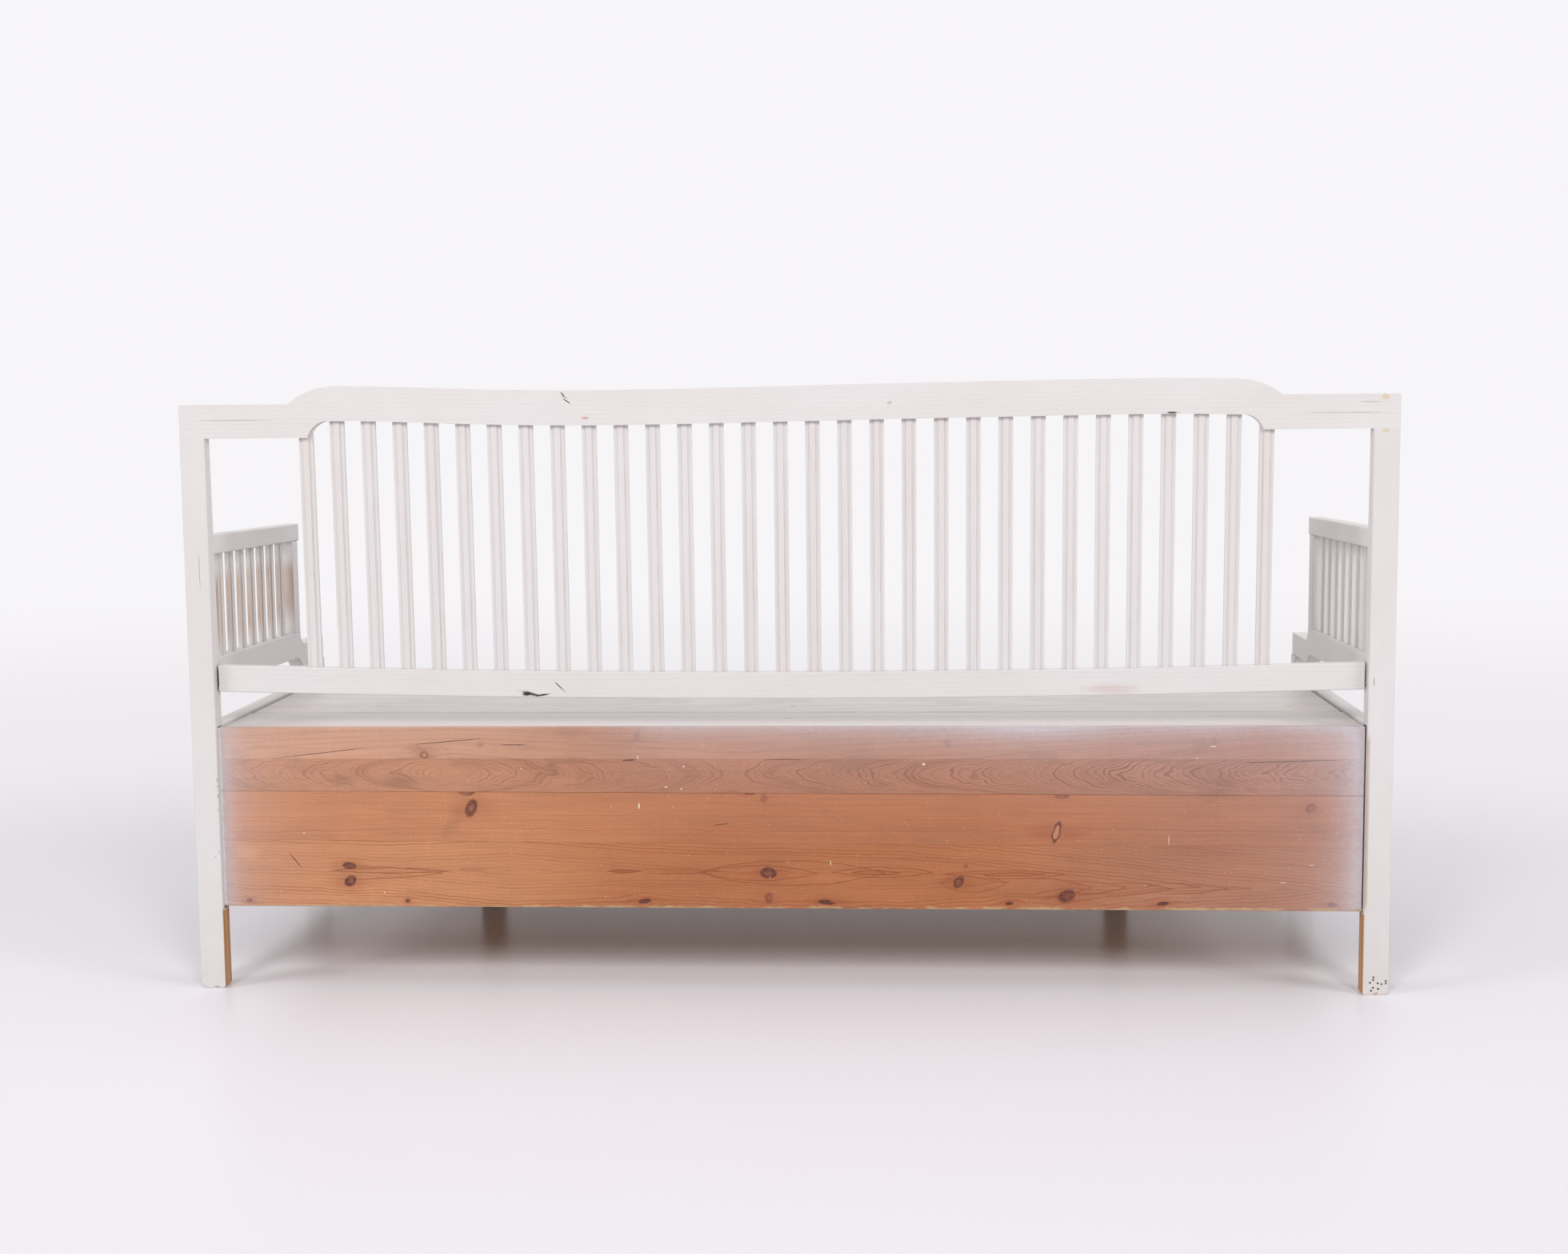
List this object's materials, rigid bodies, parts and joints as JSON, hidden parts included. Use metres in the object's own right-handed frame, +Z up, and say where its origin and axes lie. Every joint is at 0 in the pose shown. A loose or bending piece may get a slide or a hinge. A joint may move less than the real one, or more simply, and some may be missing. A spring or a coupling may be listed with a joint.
{
  "type": "pull-out bench bed",
  "caption": "Painted pine spindle-back bench whose box front slides forward on its own legs to make a slatted bed, under a seat board that turns up on pivot pins.",
  "frame": {"origin": "on the floor, under the middle of the bench", "axes": "+X along the bench, towards its right end as seen from in front; +Y towards the back; +Z up; the seat and the pull-out face -Y"},
  "size_m": [1.9, 0.63, 0.969],
  "materials": {
    "grey_paint": "old warm pale grey brushed paint on pine, satin, worn at arrises and feet",
    "aged_pine": "aged orange-brown bare pine with knots and a mist of pale paint along its edges, dull",
    "bare_pine": "unpainted yellowed pine, matt",
    "iron": "dulled iron"
  },
  "bodies": {
    "bench_frame": {"arm_front_stile_left": "grey_paint", "arm_front_stile_right": "grey_paint", "arm_lower_rail_left": "grey_paint", "arm_lower_rail_right": "grey_paint", "arm_slats_left": "grey_paint", "arm_slats_right": "grey_paint", "arm_top_rail_left": "grey_paint", "arm_top_rail_right": "grey_paint", "back_board_bottom": "aged_pine", "back_board_middle": "aged_pine", "back_board_top": "aged_pine", "back_board_upper": "aged_pine", "back_lower_rail": "grey_paint", "back_spindles": "grey_paint", "crest_rail": "grey_paint", "drawer_runner_left": "bare_pine", "drawer_runner_right": "bare_pine", "fixed_slat_nails": "iron", "fixed_slats": "bare_pine", "front_leg_left": "grey_paint", "front_leg_right": "grey_paint", "lid_cleat_left": "bare_pine", "lid_cleat_right": "bare_pine", "rear_post_left": "grey_paint", "rear_post_right": "grey_paint", "rear_slat_ledger": "bare_pine", "seat_front_rail": "bare_pine", "seat_rear_board": "grey_paint", "seat_rear_ledger": "bare_pine", "side_board_left": "grey_paint", "side_board_right": "grey_paint", "slat_bearer": "bare_pine"},
    "pull_out": {"front_board_lower": "grey_paint", "front_board_upper": "grey_paint", "inner_leg_left": "bare_pine", "inner_leg_right": "bare_pine", "leg_screws": "iron", "drawer_side_left": "bare_pine", "drawer_side_right": "bare_pine", "drawer_rear_rail": "bare_pine", "front_slat_ledger": "bare_pine", "pull_out_slats": "bare_pine", "pull_out_slat_nails": "iron"},
    "seat_lid": {"lid_board_rear": "grey_paint", "lid_board_middle": "grey_paint", "lid_board_front": "grey_paint", "lid_batten_left": "bare_pine", "lid_batten_middle": "bare_pine", "lid_batten_right": "bare_pine", "lid_screws": "iron", "lid_pivot_pins": "iron"}
  },
  "joints": [
    {"name": "pull_out_slide", "type": "slide", "parent": "bench_frame", "child": "pull_out", "axis": [0, -1, 0], "range_m": [0, 0.45]},
    {"name": "seat_lid_hinge", "type": "hinge", "parent": "bench_frame", "child": "seat_lid", "pos_m": [0, 0.124, 0.413], "axis": [-1, 0, 0], "range_deg": [0, 98]}
  ]
}
